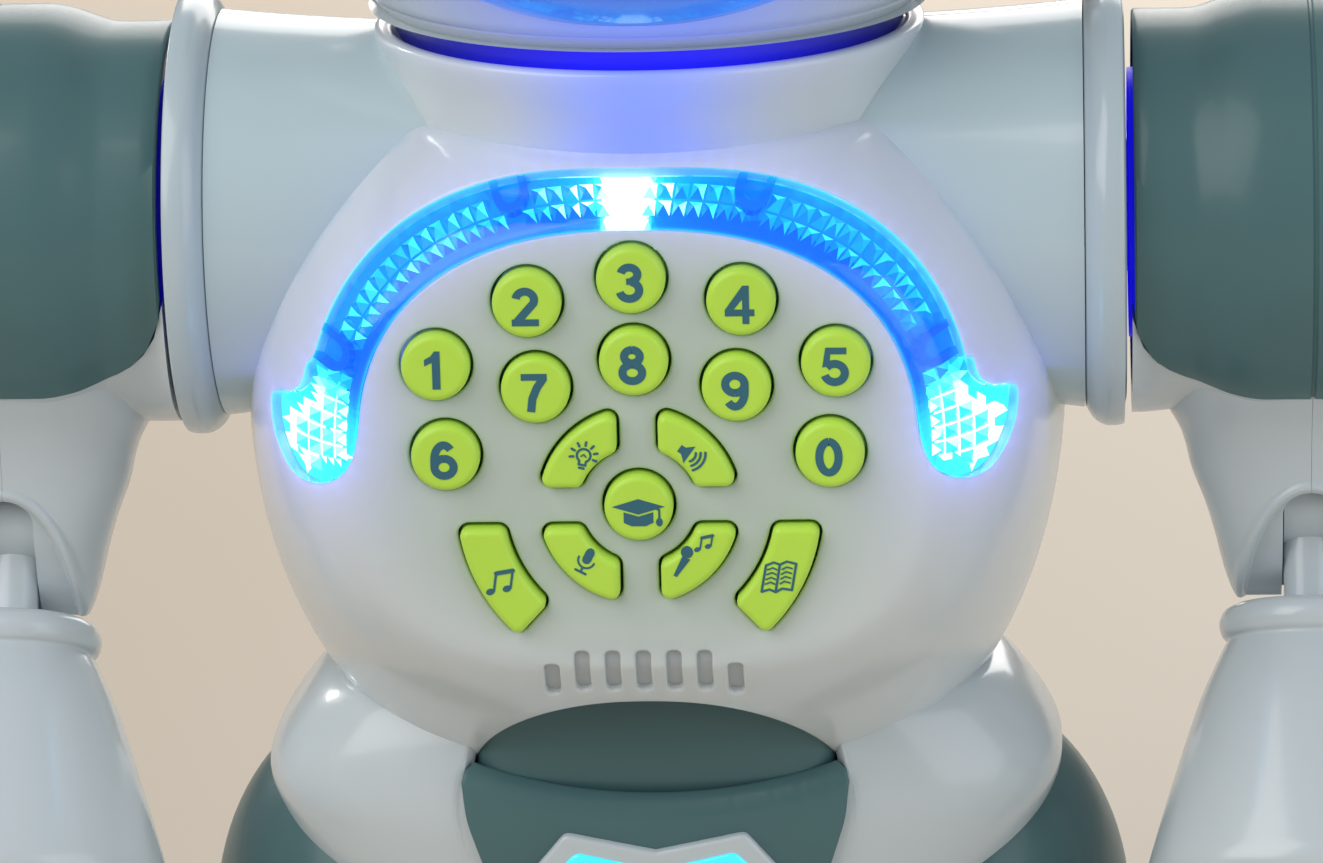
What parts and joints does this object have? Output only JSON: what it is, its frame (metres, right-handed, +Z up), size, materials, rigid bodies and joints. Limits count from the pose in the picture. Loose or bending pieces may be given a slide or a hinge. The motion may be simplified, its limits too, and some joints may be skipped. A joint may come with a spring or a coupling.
{
  "type": "educational robot",
  "caption": "Standing toy robot with an egg-shaped torso, a lit arc over a keypad of numbered and ring-shaped keys, turning arms with grippers, and wheels under its boots.",
  "frame": {"origin": "on the ground under the middle of the robot", "axes": "+Z up, the robot looks towards -Y, its own left is +X"},
  "size_m": [0.2132, 0.108, 0.28],
  "materials": {
    "white_casing": "smooth satin moulding",
    "grey_trim": "glossy moulding",
    "dark_waist": "matt moulding",
    "lime_keys": "satin, printed symbols",
    "blue_lens": "clear tinted, lit from behind",
    "visor": "clear tinted",
    "cyan_light": "diffusing, lit from behind",
    "silicone": "moulded sheet",
    "circuit_board": "coated laminate",
    "speaker": "matt frame",
    "cells": "printed sleeve, plain",
    "wheel_rubber": "matt"
  },
  "bodies": {
    "body": {"torso_front_shell": "white_casing", "torso_rear_shell": "white_casing", "neck_collar": "white_casing", "chest_light_lens": "blue_lens", "light_reflector": "white_casing", "key_mat": "silicone", "main_board": "circuit_board", "speaker": "speaker", "shoulder_ring_left": "white_casing", "shoulder_ring_right": "white_casing", "battery_door": "white_casing", "battery_pack": "cells", "abdomen": "dark_waist", "pelvis_shell": "white_casing", "belt_plate": "grey_trim", "belt_buckle": "white_casing", "belt_light": "cyan_light", "thigh_left": "grey_trim", "thigh_right": "grey_trim", "boot_left": "white_casing", "boot_right": "white_casing"},
    "head": {"head_front_shell": "white_casing", "head_rear_shell": "white_casing", "face_visor": "visor", "face_light": "cyan_light", "ear_cap_left": "grey_trim", "ear_cap_right": "grey_trim", "neck_post": "grey_trim"},
    "switch": {"power_switch": "grey_trim"},
    "upper_arm_left": {"upper_arm_inner_left": "white_casing", "upper_arm_outer_left": "white_casing", "shoulder_pad_left": "grey_trim"},
    "forearm_left": {"forearm_left": "white_casing", "hand_left": "grey_trim"},
    "upper_arm_right": {"upper_arm_inner_right": "white_casing", "upper_arm_outer_right": "white_casing", "shoulder_pad_right": "grey_trim"},
    "forearm_right": {"forearm_right": "white_casing", "hand_right": "grey_trim"},
    "key_0_body": {"key_0": "lime_keys"},
    "key_1_body": {"key_1": "lime_keys"},
    "key_2_body": {"key_2": "lime_keys"},
    "key_3_body": {"key_3": "lime_keys"},
    "key_4_body": {"key_4": "lime_keys"},
    "key_5_body": {"key_5": "lime_keys"},
    "key_6_body": {"key_6": "lime_keys"},
    "key_7_body": {"key_7": "lime_keys"},
    "key_8_body": {"key_8": "lime_keys"},
    "key_9_body": {"key_9": "lime_keys"},
    "key_learn_body": {"key_learn": "lime_keys"},
    "key_sound_body": {"key_sound": "lime_keys"},
    "key_light_body": {"key_light": "lime_keys"},
    "key_record_body": {"key_record": "lime_keys"},
    "key_sing_body": {"key_sing": "lime_keys"},
    "key_music_body": {"key_music": "lime_keys"},
    "key_story_body": {"key_story": "lime_keys"},
    "drive_wheel_left_body": {"drive_wheel_left": "wheel_rubber"},
    "drive_wheel_right_body": {"drive_wheel_right": "wheel_rubber"},
    "free_wheel_left_body": {"free_wheel_left": "wheel_rubber"},
    "free_wheel_right_body": {"free_wheel_right": "wheel_rubber"}
  },
  "joints": [
    {"name": "head_turn", "type": "hinge", "parent": "body", "child": "head", "pos_m": [0, 0, 0.2004], "axis": [0, 0, 1], "range_deg": [-35, 35]},
    {"name": "shoulder_left", "type": "hinge", "parent": "body", "child": "upper_arm_left", "pos_m": [0.085, 0, 0.17], "axis": [1, 0, 0], "continuous": true},
    {"name": "elbow_left", "type": "hinge", "parent": "upper_arm_left", "child": "forearm_left", "pos_m": [0.085, 0, 0.13], "axis": [1, 0, 0], "range_deg": [-65, 25]},
    {"name": "shoulder_right", "type": "hinge", "parent": "body", "child": "upper_arm_right", "pos_m": [-0.085, 0, 0.17], "axis": [1, 0, 0], "continuous": true},
    {"name": "elbow_right", "type": "hinge", "parent": "upper_arm_right", "child": "forearm_right", "pos_m": [-0.085, -0.00557, 0.13039], "axis": [1, 0, 0], "range_deg": [-69, 21]},
    {"name": "power_slide", "type": "slide", "parent": "body", "child": "switch", "axis": [1, 0, 0], "range_m": [0, 0.005]},
    {"name": "key_0_press", "type": "slide", "parent": "body", "child": "key_0_body", "axis": [0, 1, 0], "range_m": [0, 0.001], "stiffness_N_per_m": 800, "springref_m": -0.0004},
    {"name": "key_1_press", "type": "slide", "parent": "body", "child": "key_1_body", "axis": [0, 1, 0], "range_m": [0, 0.001], "stiffness_N_per_m": 800, "springref_m": -0.0004},
    {"name": "key_2_press", "type": "slide", "parent": "body", "child": "key_2_body", "axis": [0, 1, 0], "range_m": [0, 0.001], "stiffness_N_per_m": 800, "springref_m": -0.0004},
    {"name": "key_3_press", "type": "slide", "parent": "body", "child": "key_3_body", "axis": [0, 1, 0], "range_m": [0, 0.001], "stiffness_N_per_m": 800, "springref_m": -0.0004},
    {"name": "key_4_press", "type": "slide", "parent": "body", "child": "key_4_body", "axis": [0, 1, 0], "range_m": [0, 0.001], "stiffness_N_per_m": 800, "springref_m": -0.0004},
    {"name": "key_5_press", "type": "slide", "parent": "body", "child": "key_5_body", "axis": [0, 1, 0], "range_m": [0, 0.001], "stiffness_N_per_m": 800, "springref_m": -0.0004},
    {"name": "key_6_press", "type": "slide", "parent": "body", "child": "key_6_body", "axis": [0, 1, 0], "range_m": [0, 0.001], "stiffness_N_per_m": 800, "springref_m": -0.0004},
    {"name": "key_7_press", "type": "slide", "parent": "body", "child": "key_7_body", "axis": [0, 1, 0], "range_m": [0, 0.001], "stiffness_N_per_m": 800, "springref_m": -0.0004},
    {"name": "key_8_press", "type": "slide", "parent": "body", "child": "key_8_body", "axis": [0, 1, 0], "range_m": [0, 0.001], "stiffness_N_per_m": 800, "springref_m": -0.0004},
    {"name": "key_9_press", "type": "slide", "parent": "body", "child": "key_9_body", "axis": [0, 1, 0], "range_m": [0, 0.001], "stiffness_N_per_m": 800, "springref_m": -0.0004},
    {"name": "key_learn_press", "type": "slide", "parent": "body", "child": "key_learn_body", "axis": [0, 1, 0], "range_m": [0, 0.001], "stiffness_N_per_m": 800, "springref_m": -0.0004},
    {"name": "key_sound_press", "type": "slide", "parent": "body", "child": "key_sound_body", "axis": [0, 1, 0], "range_m": [0, 0.001], "stiffness_N_per_m": 800, "springref_m": -0.0004},
    {"name": "key_light_press", "type": "slide", "parent": "body", "child": "key_light_body", "axis": [0, 1, 0], "range_m": [0, 0.001], "stiffness_N_per_m": 800, "springref_m": -0.0004},
    {"name": "key_record_press", "type": "slide", "parent": "body", "child": "key_record_body", "axis": [0, 1, 0], "range_m": [0, 0.001], "stiffness_N_per_m": 800, "springref_m": -0.0004},
    {"name": "key_sing_press", "type": "slide", "parent": "body", "child": "key_sing_body", "axis": [0, 1, 0], "range_m": [0, 0.001], "stiffness_N_per_m": 800, "springref_m": -0.0004},
    {"name": "key_music_press", "type": "slide", "parent": "body", "child": "key_music_body", "axis": [0, 1, 0], "range_m": [0, 0.001], "stiffness_N_per_m": 800, "springref_m": -0.0004},
    {"name": "key_story_press", "type": "slide", "parent": "body", "child": "key_story_body", "axis": [0, 1, 0], "range_m": [0, 0.001], "stiffness_N_per_m": 800, "springref_m": -0.0004},
    {"name": "drive_wheel_left_spin", "type": "hinge", "parent": "body", "child": "drive_wheel_left_body", "pos_m": [0.038, 0.031, 0.009], "axis": [1, 0, 0], "continuous": true},
    {"name": "drive_wheel_right_spin", "type": "hinge", "parent": "body", "child": "drive_wheel_right_body", "pos_m": [-0.038, 0.031, 0.009], "axis": [1, 0, 0], "continuous": true},
    {"name": "free_wheel_left_spin", "type": "hinge", "parent": "body", "child": "free_wheel_left_body", "pos_m": [0.038, -0.031, 0.009], "axis": [1, 0, 0], "continuous": true},
    {"name": "free_wheel_right_spin", "type": "hinge", "parent": "body", "child": "free_wheel_right_body", "pos_m": [-0.038, -0.031, 0.009], "axis": [1, 0, 0], "continuous": true}
  ]
}
